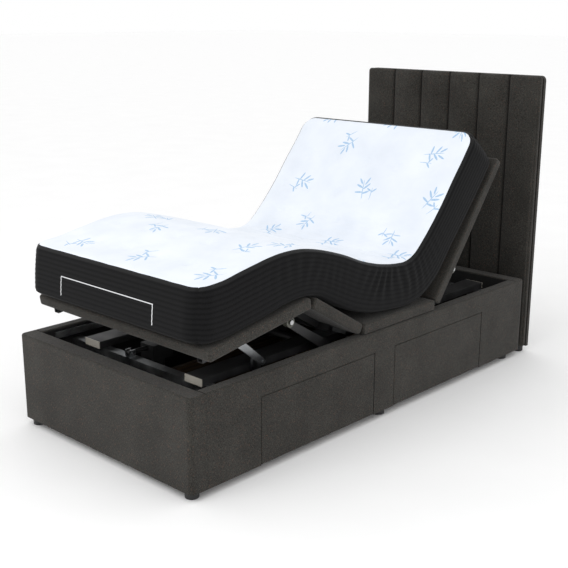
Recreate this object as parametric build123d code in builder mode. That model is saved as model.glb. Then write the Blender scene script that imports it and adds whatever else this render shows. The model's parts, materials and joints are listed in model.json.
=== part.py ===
from build123d import *
from math import cos, radians, sin, tan
import os

# An electric adjustable bed: an upholstered divan box with two drawers and a
# headboard. Four hinged panels inside its rim carry a mattress. Two linear
# actuators turn torque tubes whose rollers push the back and the legs up.
# +Z is up, +Y points to the headboard, +X to the drawer side, and the origin is
# on the floor under the middle of the whole bed. Millimetres throughout.

os.makedirs("parts", exist_ok=True)

# ---------------------------------------------------------------- dimensions
BOX_LENGTH = 2090
BOX_WIDTH = 996
FLOOR_GAP = 30
RIM_Z = 376
SIDE_BOARD = 49
FOOT_BOARD = 72
HEAD_BOARD = 69
SEAM = 0.5
BOTTOM_BOARD = 9

HEADBOARD_GAP = 28
HEADBOARD_WIDTH = 988.5
HEADBOARD_TOP = 1309
HEADBOARD_BOTTOM = 26
HEADBOARD_PAD = 39
HEADBOARD_BACK = 18

DRAWER_WIDTH = 636
DRAWER_TOP = 289
DRAWER_GAP = 2.5
DRAWER_CENTRES = {"foot": -438.5, "head": 328.5}
DRAWER_BOX_WIDTH = 560
DRAWER_DEPTH = 420
DRAWER_WALL = 12
DRAWER_BOX_BOTTOM = 46
DRAWER_BOX_TOP = 206
SLIDE_SPACE = 13
PARTITION_TOP = 262

PANEL = 44
PANEL_WIDTH = 985
PANEL_EDGE = 12
HINGE_Z = 410
KNEE_Z = 386
PANEL_BELOW_HINGE = 32
PANEL_BELOW_KNEE = 8
JOINT_GAP = 4.5
KNEE_GAP = 3
BACK_HINGE_Y = 293
THIGH_HINGE_Y = -190
BACK_LENGTH = 705
THIGH_LENGTH = 330
FOOT_LENGTH = 512
BACK_ANGLE = 52.5
THIGH_ANGLE = 31
FOOT_SLOPE = 9

MATTRESS = 200
MATTRESS_WIDTH = 970
MATTRESS_LIFT = 2

TUBE = 25
WALL = 2
TRACK_X = (404, 430)
BACK_TRACK = 55
HINGE_X = 200
HINGE_PIN = 4
LUG_RADIUS = 9
KNEE_LUG_RADIUS = 8
PIN_PLAY = 0.06

LIFT_TUBE_Z = 300
LIFT_TUBE = 17
ARM_X = (388, 398)
ROLLER = 20
ROLLER_PIN = 5
LEG_TUBE_Y = -230
LEG_ARM = 362
LEG_ARM_ANGLE = 32.902
BACK_TUBE_Y = 232
BACK_ARM = 340
BACK_ARM_ANGLE = 37.14
ARM_HUB = LIFT_TUBE + 5
ARM_TIP = 13
CRANK = 36
LEG_CRANK_LEAN = 11.8
BACK_CRANK_LEAN = -17.49

ACTUATOR_X = -100
ROD_Z = 335.1
ROD = 9
ROD_EYE = 13
ROD_PIN = 5
ROD_PIN_PLAY = 2
OUTER_TUBE = 15

LINK_PIVOT = (-632.5, 359.1)
LINK_LENGTH = 188
LINK_ANGLE = 39.86
LINK_X = (376, 384)
LINK_PIN = 6
LINK_END_PLAY = 3
LINK_PIN_ALONG = 300
LINK_PIN_BELOW = 33

# Derived sizes.
LENGTH = BOX_LENGTH + HEADBOARD_GAP + HEADBOARD_PAD + HEADBOARD_BACK
FOOT_Y = -LENGTH / 2
HEAD_Y = FOOT_Y + BOX_LENGTH
INNER_FOOT_Y = FOOT_Y + FOOT_BOARD
INNER_HEAD_Y = HEAD_Y - HEAD_BOARD
HALF_WIDTH = BOX_WIDTH / 2
INNER_X = HALF_WIDTH - SIDE_BOARD
RAIL_TOP = 350


def section_plane(y, z, rise):
    """The plane of a panel hinged at (y, z), with its +Y end turned up by rise degrees."""
    return Plane(origin=(0, y, z), x_dir=(1, 0, 0), z_dir=(0, -sin(radians(rise)), cos(radians(rise))))


def side_plane(section, x):
    """The plane at x that shows a section from its side: along it, and up from it."""
    return Plane(origin=section.origin + section.x_dir * x, x_dir=section.y_dir, z_dir=section.x_dir)


def turned(y, z, angle):
    """The point (y, z), counted from the thigh hinge, after the legs rise by angle."""
    rise = radians(angle)
    return (
        THIGH_HINGE_Y + y * cos(rise) + z * sin(rise),
        HINGE_Z - y * sin(rise) + z * cos(rise),
    )


SEAT = section_plane(0, HINGE_Z, 0)
BACK = section_plane(BACK_HINGE_Y, HINGE_Z, BACK_ANGLE)
THIGH = section_plane(THIGH_HINGE_Y, HINGE_Z, -THIGH_ANGLE)
KNEE_Y, KNEE_REST_Z = turned(-THIGH_LENGTH, KNEE_Z - HINGE_Z, THIGH_ANGLE)
FOOT = section_plane(KNEE_Y, KNEE_REST_Z, FOOT_SLOPE)


def block(x, y, z, mode=Mode.ADD):
    """A box between the two ends given for each direction."""
    with Locations(((x[0] + x[1]) / 2, (y[0] + y[1]) / 2, (z[0] + z[1]) / 2)):
        Box(x[1] - x[0], y[1] - y[0], z[1] - z[0], mode=mode)


def hollow_block(x, y, z, along, wall=WALL):
    """A rectangular tube between the given ends, open along X or Y."""
    block(x, y, z)
    inner_x = x if along == "x" else (x[0] + wall, x[1] - wall)
    inner_y = y if along == "y" else (y[0] + wall, y[1] - wall)
    block(inner_x, inner_y, (z[0] + wall, z[1] - wall), Mode.SUBTRACT)


def rod_along_x(x, y, z, radius, mode=Mode.ADD):
    """A round bar along X between the two ends given."""
    with Locations(((x[0] + x[1]) / 2, y, z)):
        Cylinder(radius, x[1] - x[0], rotation=(0, 90, 0), mode=mode)


def rod_along_y(x, y, z, radius, mode=Mode.ADD):
    """A round bar along Y between the two ends given."""
    with Locations((x, (y[0] + y[1]) / 2, z)):
        Cylinder(radius, y[1] - y[0], rotation=(90, 0, 0), mode=mode)


def rod_along_z(x, y, z, radius, mode=Mode.ADD):
    """A round bar along Z between the two ends given."""
    with Locations((x, y, (z[0] + z[1]) / 2)):
        Cylinder(radius, z[1] - z[0], mode=mode)


def save(builder, name):
    """Labels a finished piece and writes it."""
    builder.part.label = name
    export_step(builder.part, f"parts/{name}.step")


# ---------------------------------------------------------------- divan box
with BuildPart() as foot_end_board:
    block((-HALF_WIDTH, HALF_WIDTH), (FOOT_Y, INNER_FOOT_Y), (FLOOR_GAP, RIM_Z))
    fillet(foot_end_board.edges().filter_by(Axis.Z).group_by(Axis.Y)[0], 20)
    fillet(foot_end_board.faces().sort_by(Axis.Z)[-1].edges(), 8)
save(foot_end_board, "foot_end_board")

with BuildPart() as head_end_board:
    block((-HALF_WIDTH, HALF_WIDTH), (INNER_HEAD_Y, HEAD_Y), (FLOOR_GAP, RIM_Z))
    fillet(head_end_board.edges().filter_by(Axis.Z).group_by(Axis.Y)[-1], 20)
    fillet(head_end_board.faces().sort_by(Axis.Z)[-1].edges(), 8)
save(head_end_board, "head_end_board")

SIDE_ENDS = (INNER_FOOT_Y + SEAM, INNER_HEAD_Y - SEAM)

with BuildPart() as far_side_board:
    block((-HALF_WIDTH, -INNER_X), SIDE_ENDS, (FLOOR_GAP, RIM_Z))
    fillet(far_side_board.faces().sort_by(Axis.Z)[-1].edges().filter_by(Axis.Y), 8)
save(far_side_board, "far_side_board")

# The drawer side is a top rail with three posts down to the floor line.
with BuildPart() as near_side_board:
    block((INNER_X, HALF_WIDTH), SIDE_ENDS, (FLOOR_GAP, RIM_Z))
    for drawer_y in DRAWER_CENTRES.values():
        opening = DRAWER_WIDTH / 2 + DRAWER_GAP
        block(
            (INNER_X, HALF_WIDTH),
            (drawer_y - opening, drawer_y + opening),
            (FLOOR_GAP, DRAWER_TOP + DRAWER_GAP),
            Mode.SUBTRACT,
        )
    fillet(near_side_board.faces().sort_by(Axis.Z)[-1].edges().filter_by(Axis.Y), 8)
save(near_side_board, "near_side_board")

FLOOR_TOP = FLOOR_GAP + BOTTOM_BOARD

with BuildPart() as bottom_board:
    block((-INNER_X + SEAM, INNER_X - SEAM), SIDE_ENDS, (FLOOR_GAP, FLOOR_TOP))
save(bottom_board, "bottom_board")

with BuildPart() as centre_board:
    block((-16, 0), (INNER_FOOT_Y + 3, INNER_HEAD_Y - 3), (FLOOR_TOP, PARTITION_TOP))
save(centre_board, "centre_board")

PARTITION = 18
with BuildPart() as drawer_partitions:
    for drawer_y in DRAWER_CENTRES.values():
        for side in (-1, 1):
            inner = drawer_y + side * (DRAWER_BOX_WIDTH / 2 + SLIDE_SPACE)
            outer = inner + side * PARTITION
            block((0.5, INNER_X - 3), (min(inner, outer), max(inner, outer)), (FLOOR_TOP, PARTITION_TOP))
save(drawer_partitions, "drawer_partitions")

# A thin black cloth covers the boards inside the well.
LINING = 1.2
LINING_TOP = RIM_Z - 4
with BuildPart() as inner_lining:
    lining_x = INNER_X - 0.2
    ends = (INNER_FOOT_Y + 2, INNER_HEAD_Y - 2)
    block((-lining_x, lining_x), (INNER_FOOT_Y + 0.2, INNER_FOOT_Y + LINING), (FLOOR_TOP + 0.5, LINING_TOP))
    block((-lining_x, lining_x), (INNER_HEAD_Y - LINING, INNER_HEAD_Y - 0.2), (FLOOR_TOP + 0.5, LINING_TOP))
    block((-lining_x, -INNER_X + LINING), ends, (FLOOR_TOP + 0.5, LINING_TOP))
    block((INNER_X - LINING, lining_x), ends, (DRAWER_TOP + 5, LINING_TOP))
save(inner_lining, "inner_lining")

# Round floor feet: six under the box and two under the headboard.
FOOT_RADIUS = 25
FOOT_X = 455
with BuildPart() as floor_feet:
    for y, top in ((FOOT_Y + 38, FLOOR_GAP), (-34, FLOOR_GAP), (HEAD_Y - 97, FLOOR_GAP)):
        for x in (-FOOT_X, FOOT_X):
            rod_along_z(x, y, (0, top), FOOT_RADIUS)
    for x in (-FOOT_X, FOOT_X):
        rod_along_z(x, LENGTH / 2 - 28, (0, HEADBOARD_BOTTOM), FOOT_RADIUS)
    chamfer(floor_feet.edges().group_by(Axis.Z)[0], 2)
save(floor_feet, "floor_feet")

# ---------------------------------------------------------------- headboard
PAD_Y = HEAD_Y + HEADBOARD_GAP
with BuildPart() as headboard_pad:
    half = HEADBOARD_WIDTH / 2
    block((-half, half), (PAD_Y, PAD_Y + HEADBOARD_PAD - 0.2), (HEADBOARD_BOTTOM, HEADBOARD_TOP))
    fillet(headboard_pad.edges().filter_by(Axis.Y).group_by(Axis.Z)[-1], 22)
    front = headboard_pad.faces().sort_by(Axis.Y)[0]
    fillet(front.edges(), 14)
save(headboard_pad, "headboard_pad")

with BuildPart() as headboard_board:
    block((-half, half), (PAD_Y + HEADBOARD_PAD, LENGTH / 2), (HEADBOARD_BOTTOM, HEADBOARD_TOP))
    fillet(headboard_board.edges().filter_by(Axis.Y).group_by(Axis.Z)[-1], 22)
save(headboard_board, "headboard_board")

with BuildPart() as headboard_struts:
    for x in (-300, 300):
        block((x - 30, x + 30), (HEAD_Y + 0.2, PAD_Y - 0.2), (70, 350))
    fillet(headboard_struts.edges().filter_by(Axis.Y), 6)
save(headboard_struts, "headboard_struts")

# ---------------------------------------------------------------- drawers
DRAWER_FRONT_X = (HALF_WIDTH - 46, HALF_WIDTH)
DRAWER_BACK_X = DRAWER_FRONT_X[0] - 0.2 - DRAWER_DEPTH
SLIDE_Z = 126
for name, drawer_y in DRAWER_CENTRES.items():
    half_front = DRAWER_WIDTH / 2
    half_box = DRAWER_BOX_WIDTH / 2
    wall_x = (DRAWER_BACK_X, DRAWER_FRONT_X[0] - 0.2)
    box_z = (DRAWER_BOX_BOTTOM, DRAWER_BOX_TOP)
    inside = half_box - DRAWER_WALL - 0.2

    with BuildPart() as drawer_front:
        block(DRAWER_FRONT_X, (drawer_y - half_front, drawer_y + half_front), (FLOOR_GAP + 1, DRAWER_TOP))
        fillet(drawer_front.faces().sort_by(Axis.X)[-1].edges(), 4)
    save(drawer_front, f"{name}_drawer_front")

    with BuildPart() as drawer_box:
        block(wall_x, (drawer_y - half_box, drawer_y - half_box + DRAWER_WALL), box_z)
        block(wall_x, (drawer_y + half_box - DRAWER_WALL, drawer_y + half_box), box_z)
        block((wall_x[0], wall_x[0] + DRAWER_WALL), (drawer_y - inside, drawer_y + inside), box_z)
        bottom_x = (wall_x[0] + DRAWER_WALL + 0.2, wall_x[1])
        block(bottom_x, (drawer_y - inside, drawer_y + inside), (DRAWER_BOX_BOTTOM, DRAWER_BOX_BOTTOM + 6))
    save(drawer_box, f"{name}_drawer_box")

    with BuildPart() as drawer_slides:
        for side in (-1, 1):
            inner = drawer_y + side * (half_box + 0.1)
            outer = drawer_y + side * (half_box + SLIDE_SPACE - 2.6)
            slot_y = (min(inner, outer), max(inner, outer))
            block((wall_x[0] + 10, wall_x[1] - 10), slot_y, (SLIDE_Z - 11, SLIDE_Z + 11))
    save(drawer_slides, f"{name}_drawer_slides")

# Fixed runners: steel channels on the partitions that the drawer slides run in.
with BuildPart() as drawer_runners:
    for drawer_y in DRAWER_CENTRES.values():
        for side in (-1, 1):
            partition = drawer_y + side * (DRAWER_BOX_WIDTH / 2 + SLIDE_SPACE - 0.1)
            lip = partition - side * 8
            web = partition - side * 2
            runner_x = (DRAWER_BACK_X + 10, INNER_X - 4)
            block(runner_x, (min(partition, lip), max(partition, lip)), (SLIDE_Z - 20, SLIDE_Z + 20))
            block(runner_x, (min(web, lip), max(web, lip)), (SLIDE_Z - 12, SLIDE_Z + 12), Mode.SUBTRACT)
save(drawer_runners, "drawer_runners")

# ---------------------------------------------------------------- fixed steel frame
RAIL_X = (250, 340)
RAIL_Z = (322, RAIL_TOP)
RAIL_ENDS = (-890, 890)
with BuildPart() as frame_rails:
    for side in (-1, 1):
        rail_x = (min(side * RAIL_X[0], side * RAIL_X[1]), max(side * RAIL_X[0], side * RAIL_X[1]))
        hollow_block(rail_x, RAIL_ENDS, RAIL_Z, "y")
save(frame_rails, "frame_rails")

with BuildPart() as rail_end_caps:
    rail_middle = (RAIL_X[0] + RAIL_X[1]) / 2
    for x in (-rail_middle, rail_middle):
        for end, out in ((RAIL_ENDS[0], -1), (RAIL_ENDS[1], 1)):
            plug = (end + out * 0.1, end - out * 15)
            flange = (end + out * 0.1, end + out * 3.1)
            block((x - 42.9, x + 42.9), (min(plug), max(plug)), (RAIL_Z[0] + 2.1, RAIL_Z[1] - 2.1))
            block((x - 45, x + 45), (min(flange), max(flange)), RAIL_Z)
save(rail_end_caps, "rail_end_caps")

with BuildPart() as side_ledgers:
    block((437, INNER_X - 1.6), (-960, 880), (336, 362))
    mirror(about=Plane.YZ)
save(side_ledgers, "side_ledgers")


def actuator_bracket(y):
    """Two cheeks that stand on a cross member and hold an actuator's rear pin."""
    for cheek in (-16, 11):
        block((ACTUATOR_X + cheek, ACTUATOR_X + cheek + 5), (y - 13, y + 13), (RAIL_Z[0] - 2, ROD_Z + 13))
    rod_along_x((ACTUATOR_X - 17, ACTUATOR_X + 17), y, ROD_Z, ROD_PIN + PIN_PLAY, Mode.SUBTRACT)


REAR_PIN_Y = 860
for name, y in (("foot_cross_member", -REAR_PIN_Y), ("head_cross_member", REAR_PIN_Y)):
    with BuildPart() as cross_member:
        hollow_block((-INNER_X + 1.6, INNER_X - 1.6), (y - 20, y + 20), (294, RAIL_Z[0]), "x")
        actuator_bracket(y)
    save(cross_member, name)

# Cross members under the seat carry the hinge cheeks of the back and the thighs.
CROSS = (RAIL_TOP, HINGE_Z - PANEL_BELOW_HINGE)
BETWEEN_ARMS = (-380, 380)
CHEEK = 6
LUG = 10


def hinge_plate(plane, x, thickness, radius, along, down):
    """A plate with an eye at the plane's origin that reaches a tube along and below it."""
    with BuildPart() as plate:
        with BuildSketch(side_plane(plane, x)):
            Circle(radius)
            with Locations(((along[0] + along[1]) / 2, (down[0] + down[1]) / 2)):
                Rectangle(along[1] - along[0], down[1] - down[0])
            make_hull()
        extrude(amount=thickness)
        with BuildSketch(side_plane(plane, x)):
            Circle(HINGE_PIN + PIN_PLAY)
        extrude(amount=thickness, mode=Mode.SUBTRACT)
    return plate.part


def hinge_cheeks(plane, radius, along, down):
    """The two outer plates of each hinge of a pair of hinges."""
    plates = []
    for middle in (-HINGE_X, HINGE_X):
        plates.append(hinge_plate(plane, middle - LUG / 2 - 1 - CHEEK, CHEEK, radius, along, down))
        plates.append(hinge_plate(plane, middle + LUG / 2 + 1, CHEEK, radius, along, down))
    return plates


def hinge_lugs(plane, radius, along, down):
    """The single middle plate of each hinge of a pair of hinges."""
    return [hinge_plate(plane, middle - LUG / 2, LUG, radius, along, down) for middle in (-HINGE_X, HINGE_X)]


SEAT_CROSSES = {"back": (235, 275), "thigh": (-160, -120)}
HINGE_PLANES = {
    "back": section_plane(BACK_HINGE_Y, HINGE_Z, 0),
    "thigh": section_plane(THIGH_HINGE_Y, HINGE_Z, 0),
}
CHEEK_REACH = {"back": (-48, -22), "thigh": (34, 60)}
CHEEK_DROP = (RAIL_TOP + 5 - HINGE_Z, -PANEL_BELOW_HINGE - 5)
cheek_sets = {
    name: hinge_cheeks(HINGE_PLANES[name], LUG_RADIUS, CHEEK_REACH[name], CHEEK_DROP)
    for name in SEAT_CROSSES
}

with BuildPart() as seat_cross_members:
    for name, y in SEAT_CROSSES.items():
        hollow_block(BETWEEN_ARMS, y, CROSS, "x")
        add(cheek_sets[name])
save(seat_cross_members, "seat_cross_members")


def hinge_pin(plane, radius):
    """The two pins of a pair of hinges, each with a head at one end."""
    with BuildPart() as pins:
        for middle in (-HINGE_X, HINGE_X):
            start = middle - LUG / 2 - 1 - CHEEK - 0.3
            length = LUG + 2 + 2 * CHEEK + 0.6
            with BuildSketch(side_plane(plane, start)):
                Circle(HINGE_PIN)
            extrude(amount=length)
            with BuildSketch(side_plane(plane, start)):
                Circle(radius - 2)
            extrude(amount=-2)
    return pins.part


seat_pins = [hinge_pin(plane, LUG_RADIUS) for plane in HINGE_PLANES.values()]
with BuildPart() as seat_hinge_pins:
    add(seat_pins)
save(seat_hinge_pins, "seat_hinge_pins")


# Bearing blocks hang under the rails and hold the torque tubes.
with BuildPart() as lift_tube_bearings:
    for y in (LEG_TUBE_Y, BACK_TUBE_Y):
        for x in (-295, 295):
            block((x - 15, x + 15), (y - 26, y + 26), (LIFT_TUBE_Z - 26, RAIL_Z[0]))
        rod_along_x((-320, 320), y, LIFT_TUBE_Z, LIFT_TUBE + PIN_PLAY, Mode.SUBTRACT)
    fillet(lift_tube_bearings.edges().filter_by(Axis.X).group_by(Axis.Z)[0], 12)
save(lift_tube_bearings, "lift_tube_bearings")

with BuildPart() as control_box:
    block((-235, -135), (-40, 110), (328, HINGE_Z - PANEL_BELOW_HINGE))
    fillet(control_box.edges().filter_by(Axis.Z), 8)
    fillet(control_box.faces().sort_by(Axis.Z)[0].edges(), 5)
save(control_box, "control_box")


# ---------------------------------------------------------------- panels and mattress
THROUGH = (-PANEL_BELOW_HINGE - 1, PANEL - PANEL_BELOW_HINGE + 1)
POCKET = (-PANEL_BELOW_KNEE - 1, KNEE_LUG_RADIUS + 4)
KNEE_POCKET_ON_THIGH = (POCKET[0] + KNEE_Z - HINGE_Z, POCKET[1] + KNEE_Z - HINGE_Z)


def panel(plane, ends, below, slots):
    """An upholstered panel with soft edges and slots for the plates of its hinges."""
    with BuildPart(plane) as board:
        with BuildSketch(side_plane(plane, -PANEL_WIDTH / 2)):
            with Locations(((ends[0] + ends[1]) / 2, PANEL / 2 - below)):
                RectangleRounded(ends[1] - ends[0], PANEL, PANEL_EDGE)
        extrude(amount=PANEL_WIDTH)
        for side in (0, -1):
            fillet(board.faces().sort_by(Axis.X)[side].edges(), 9)
        for slot_y, slot_z in slots:
            for x in (-HINGE_X, HINGE_X):
                block((x - 16, x + 16), slot_y, slot_z, Mode.SUBTRACT)
    return board


SEAT_ENDS = (THIGH_HINGE_Y + JOINT_GAP, BACK_HINGE_Y - JOINT_GAP)
seat_slots = [
    ((BACK_HINGE_Y - 52, BACK_HINGE_Y), THROUGH),
    ((THIGH_HINGE_Y, THIGH_HINGE_Y + 64), THROUGH),
]
save(panel(SEAT, SEAT_ENDS, PANEL_BELOW_HINGE, seat_slots), "seat_panel")

back_slots = [((0, 64), THROUGH)]
save(panel(BACK, (JOINT_GAP, BACK_LENGTH), PANEL_BELOW_HINGE, back_slots), "back_panel")

THIGH_ENDS = (KNEE_GAP - THIGH_LENGTH, -JOINT_GAP)
thigh_slots = [((-64, 0), THROUGH), ((-THIGH_LENGTH, 48 - THIGH_LENGTH), KNEE_POCKET_ON_THIGH)]
save(panel(THIGH, THIGH_ENDS, PANEL_BELOW_HINGE, thigh_slots), "thigh_panel")

foot_slots = [((-48, 0), POCKET)]
save(panel(FOOT, (-FOOT_LENGTH, -KNEE_GAP), PANEL_BELOW_KNEE, foot_slots), "foot_panel")

# The mattress is one soft body on the real bed. It is cut here where it bends, on
# planes that lean away from each hinge by half of the most that the hinge folds.
MATTRESS_BELOW = MATTRESS_LIFT + PANEL - PANEL_BELOW_HINGE
MATTRESS_TOP = MATTRESS_BELOW + MATTRESS
BACK_LEAN = tan(radians(28.5))
THIGH_LEAN = tan(radians(19))
CUT = 1.5


def mattress_part(plane, bottom, top, low, high, round_end=0):
    """A length of mattress between slanting ends, with the far corners of one end rounded."""
    with BuildPart() as length:
        with BuildSketch(side_plane(plane, -MATTRESS_WIDTH / 2)):
            with BuildLine():
                Polyline((bottom[0], low), (bottom[1], low), (top[1], high), (top[0], high), close=True)
            make_face()
        extrude(amount=MATTRESS_WIDTH)
        if round_end:
            upright = length.edges().filter_by(lambda edge: abs(edge.tangent_at(0).dot(plane.z_dir)) > 0.999)
            fillet(upright.group_by(Axis.Y)[0 if round_end < 0 else -1], 60)
    return length


def slanted(hinge, direction, lean, height):
    """How far along a section a slanting cut has moved at a height over the hinge."""
    return hinge + direction * (CUT + lean * height)


low, high = MATTRESS_BELOW, MATTRESS_TOP
seat_bottom = (slanted(THIGH_HINGE_Y, 1, THIGH_LEAN, low), slanted(BACK_HINGE_Y, -1, BACK_LEAN, low))
seat_top = (slanted(THIGH_HINGE_Y, 1, THIGH_LEAN, high), slanted(BACK_HINGE_Y, -1, BACK_LEAN, high))
save(mattress_part(SEAT, seat_bottom, seat_top, low, high), "seat_mattress")

back_bottom = (slanted(0, 1, BACK_LEAN, low), BACK_LENGTH)
back_top = (slanted(0, 1, BACK_LEAN, high), BACK_LENGTH)
save(mattress_part(BACK, back_bottom, back_top, low, high, 1), "back_mattress")

thigh_bottom = (CUT - THIGH_LENGTH, slanted(0, -1, THIGH_LEAN, low))
thigh_top = (CUT - THIGH_LENGTH, slanted(0, -1, THIGH_LEAN, high))
save(mattress_part(THIGH, thigh_bottom, thigh_top, low, high), "thigh_mattress")

knee_drop = HINGE_Z - KNEE_Z
foot_end = (-FOOT_LENGTH - 8, -CUT)
save(mattress_part(FOOT, foot_end, foot_end, low + knee_drop, high + knee_drop, -1), "foot_mattress")

# ---------------------------------------------------------------- frames under the panels
LUG_DROP = (-PANEL_BELOW_HINGE - TUBE + 4, -PANEL_BELOW_HINGE - 5)
KNEE_DROP = (-PANEL_BELOW_KNEE - TUBE + 4, -PANEL_BELOW_KNEE - 5)
UNDER_PANEL = (-PANEL_BELOW_HINGE - TUBE, -PANEL_BELOW_HINGE)
UNDER_FOOT = (-PANEL_BELOW_KNEE - TUBE, -PANEL_BELOW_KNEE)
CROSS_ENDS = (-TRACK_X[0] + 0.4, TRACK_X[0] - 0.4)

back_lugs = hinge_lugs(BACK, LUG_RADIUS, (34, 58), LUG_DROP)
with BuildPart(BACK) as back_frame_tubes:
    for side in (-1, 1):
        track_x = (min(side * TRACK_X[0], side * TRACK_X[1]), max(side * TRACK_X[0], side * TRACK_X[1]))
        hollow_block(track_x, (20, 634), (-PANEL_BELOW_HINGE - BACK_TRACK, -PANEL_BELOW_HINGE), "y")
    hollow_block(BETWEEN_ARMS, (32, 32 + TUBE), UNDER_PANEL, "x")
    for y in (340, 600):
        hollow_block(CROSS_ENDS, (y, y + TUBE), UNDER_PANEL, "x")
with BuildPart() as back_frame_welded:
    add(back_frame_tubes.part)
    add(back_lugs)
save(back_frame_welded, "back_frame_tubes")

thigh_lugs = hinge_lugs(THIGH, LUG_RADIUS, (-58, -34), LUG_DROP)
KNEE_ON_THIGH = section_plane(KNEE_Y, KNEE_REST_Z, -THIGH_ANGLE)
knee_cheeks = hinge_cheeks(KNEE_ON_THIGH, KNEE_LUG_RADIUS, (22, 46), KNEE_DROP)
with BuildPart(THIGH) as thigh_tubes:
    for side in (-1, 1):
        tube_x = (min(side * 300, side * 325), max(side * 300, side * 325))
        hollow_block(tube_x, (60.4 - THIGH_LENGTH + 12, -60.4), UNDER_PANEL, "y")
    hollow_block(BETWEEN_ARMS, (-60, -60 + TUBE), UNDER_PANEL, "x")
    hollow_block(BETWEEN_ARMS, (22 - THIGH_LENGTH, 22 - THIGH_LENGTH + TUBE), UNDER_PANEL, "x")
with BuildPart() as thigh_frame_tubes:
    add(thigh_tubes.part)
    add(thigh_lugs)
    add(knee_cheeks)
save(thigh_frame_tubes, "thigh_frame_tubes")

knee_pins = hinge_pin(KNEE_ON_THIGH, KNEE_LUG_RADIUS)
with BuildPart() as knee_hinge_pins:
    add(knee_pins)
save(knee_hinge_pins, "knee_hinge_pins")

# The foot panel's outer tubes are the tracks that the leg rollers run under. Each
# also carries a bracket with the pin of its steering link.
foot_lugs = hinge_lugs(FOOT, KNEE_LUG_RADIUS, (-46, -22), KNEE_DROP)
with BuildPart(FOOT) as foot_tubes:
    for side in (-1, 1):
        track_x = (min(side * TRACK_X[0], side * TRACK_X[1]), max(side * TRACK_X[0], side * TRACK_X[1]))
        hollow_block(track_x, (-492, -14), UNDER_FOOT, "y")
    for y in (-46, -420):
        hollow_block(CROSS_ENDS, (y, y + TUBE), UNDER_FOOT, "x")
with BuildPart(FOOT) as link_brackets:
    for side in (-1, 1):
        plate = (side * (LINK_X[1] + 6), side * (TRACK_X[0] - 0.2))
        pin = (side * (LINK_X[0] - 2), side * (LINK_X[1] + 7))
        along = (-LINK_PIN_ALONG - 20, -LINK_PIN_ALONG + 20)
        block((min(plate), max(plate)), along, (-LINK_PIN_BELOW - 14, -PANEL_BELOW_KNEE - 0.2))
        rod_along_x((min(pin), max(pin)), -LINK_PIN_ALONG, -LINK_PIN_BELOW, LINK_PIN)
with BuildPart() as foot_frame_tubes:
    add(foot_tubes.part)
    add(foot_lugs)
    add(link_brackets.part)
save(foot_frame_tubes, "foot_frame_tubes")

# ---------------------------------------------------------------- foot links
LINK = section_plane(LINK_PIVOT[0], LINK_PIVOT[1], -LINK_ANGLE)
with BuildPart() as foot_links:
    for x in (LINK_X[0], -LINK_X[1]):
        with BuildSketch(side_plane(LINK, x)):
            Circle(12)
            with Locations((-LINK_LENGTH, 0)):
                Circle(16)
            make_hull()
            Circle(LINK_PIN + PIN_PLAY, mode=Mode.SUBTRACT)
            with Locations((-LINK_LENGTH, 0)):
                Circle(LINK_PIN + LINK_END_PLAY, mode=Mode.SUBTRACT)
        extrude(amount=LINK_X[1] - LINK_X[0])
save(foot_links, "foot_links")

# Each link turns on a stud that stands on the outside of the frame rail.
with BuildPart() as link_pivots:
    for side in (-1, 1):
        plate = (side * (RAIL_X[1] + 0.2), side * (RAIL_X[1] + 12))
        stud = (side * (RAIL_X[1] + 11), side * (LINK_X[1] + 2))
        plate_y = (LINK_PIVOT[0] - 20, LINK_PIVOT[0] + 20)
        block((min(plate), max(plate)), plate_y, (RAIL_Z[0], LINK_PIVOT[1] + 13))
        rod_along_x((min(stud), max(stud)), LINK_PIVOT[0], LINK_PIVOT[1], LINK_PIN)
save(link_pivots, "link_pivots")


# ---------------------------------------------------------------- lift tubes and arms
def lift_tube(y, lean):
    """A torque tube with the two plates of its crank, whose pin leans to +Y from upright."""
    crank_plane = Plane(origin=(0, y, LIFT_TUBE_Z), x_dir=(0, 1, 0), z_dir=(1, 0, 0))
    pin_y = CRANK * sin(radians(lean))
    pin_z = CRANK * cos(radians(lean))
    with BuildPart() as welded:
        rod_along_x((-402, 402), y, LIFT_TUBE_Z, LIFT_TUBE)
        for x in (-17, 12):
            with BuildSketch(crank_plane.offset(ACTUATOR_X + x)):
                Circle(LIFT_TUBE + 5)
                with Locations((pin_y, pin_z)):
                    Circle(11)
                make_hull()
            extrude(amount=5)
        rod_along_x((ACTUATOR_X - 19, ACTUATOR_X + 19), y + pin_y, LIFT_TUBE_Z + pin_z, ROD_PIN)
        rod_along_x((-402, 402), y, LIFT_TUBE_Z, LIFT_TUBE - 2.5, Mode.SUBTRACT)
    return welded


def lift_arms(y, direction, length, angle):
    """Two flat arms on the ends of a torque tube, tapering to the eyes of the roller pins."""
    arm = section_plane(y, LIFT_TUBE_Z, direction * angle)
    with BuildPart() as arms:
        for x in (ARM_X[0], -ARM_X[1]):
            with BuildSketch(side_plane(arm, x)):
                Circle(ARM_HUB)
                with Locations((direction * length, 0)):
                    Circle(ARM_TIP)
                make_hull()
                Circle(LIFT_TUBE + 0.02, mode=Mode.SUBTRACT)
                with Locations((direction * length, 0)):
                    Circle(ROLLER_PIN + 0.02, mode=Mode.SUBTRACT)
            extrude(amount=ARM_X[1] - ARM_X[0])
    return arms


def roller_place(y, direction, length, angle):
    """Where the rollers of a pair of arms sit, as (y, z)."""
    rise = radians(angle)
    return y + direction * length * cos(rise), LIFT_TUBE_Z + length * sin(rise)


def roller_pins(place):
    """A headed pin through each arm's eye."""
    with BuildPart() as pins:
        for side in (-1, 1):
            shank = (side * (ARM_X[0] - 5), side * 434)
            head = (side * 431, side * 435)
            nut = (side * (ARM_X[0] - 6), side * (ARM_X[0] - 0.3))
            rod_along_x((min(shank), max(shank)), *place, ROLLER_PIN)
            rod_along_x((min(head), max(head)), *place, 9)
            rod_along_x((min(nut), max(nut)), *place, 9)
    return pins


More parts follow.
